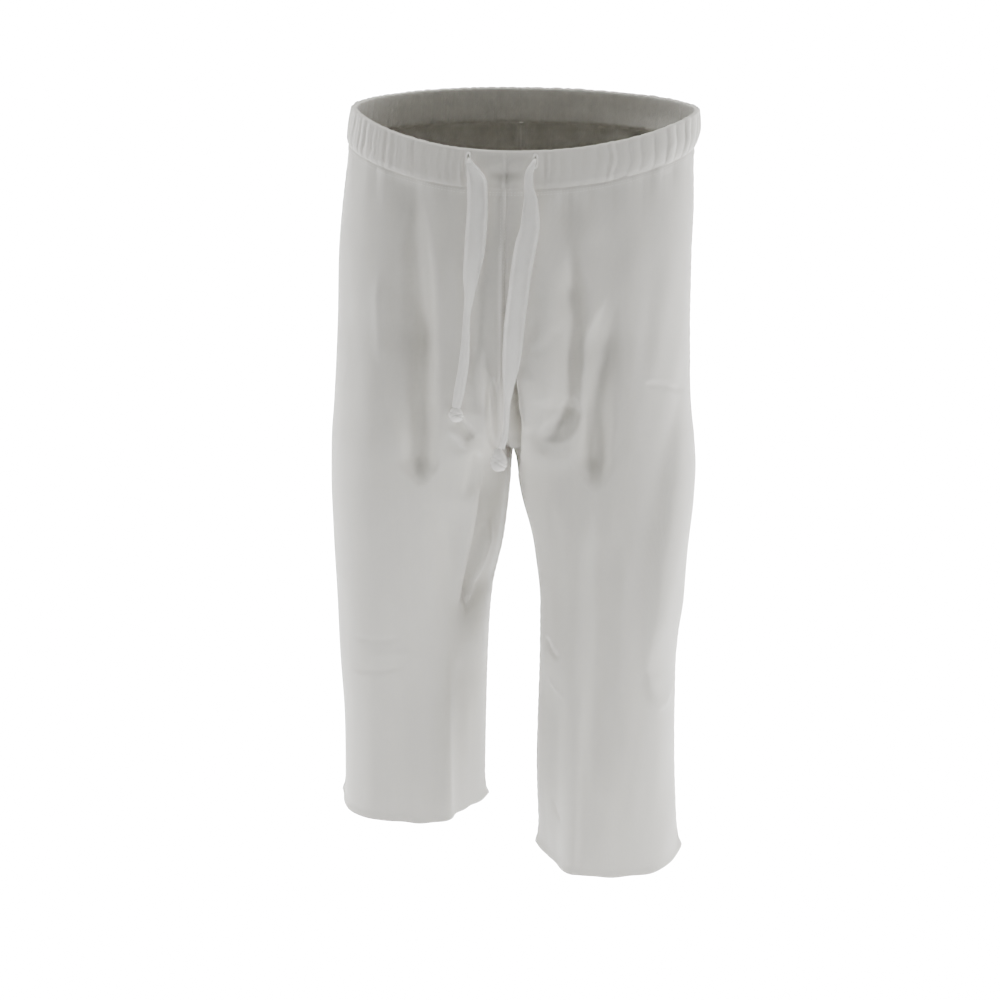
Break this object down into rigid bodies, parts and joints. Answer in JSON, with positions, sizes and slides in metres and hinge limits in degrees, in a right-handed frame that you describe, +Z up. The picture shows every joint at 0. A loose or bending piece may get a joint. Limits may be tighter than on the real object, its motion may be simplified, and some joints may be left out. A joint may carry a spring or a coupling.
{
  "type": "capri pants",
  "caption": "Worn-form capri pants: straight cropped legs, gathered elastic waistband with buttonholes and a flat knotted drawstring, raw hems.",
  "frame": {"origin": "centre of the waist opening, level with the waistband's top edge at the sides, where a wearer holds it", "axes": "+Z up, the front faces -Y, the wearer's left is +X"},
  "size_m": [0.3729, 0.2959, 0.7637],
  "materials": {
    "jersey": "off-white cotton French terry, matt with a soft nap",
    "waistband_jersey": "the same jersey gathered over elastic",
    "drawstring_cotton": "flat tie of the same cotton, matt"
  },
  "bodies": {
    "root": {"front_right": "jersey", "front_left": "jersey", "back_right": "jersey", "back_left": "jersey", "waistband": "waistband_jersey", "drawstring_right": "drawstring_cotton", "drawstring_left": "drawstring_cotton", "knot_right": "drawstring_cotton", "knot_left": "drawstring_cotton"}
  },
  "joints": []
}
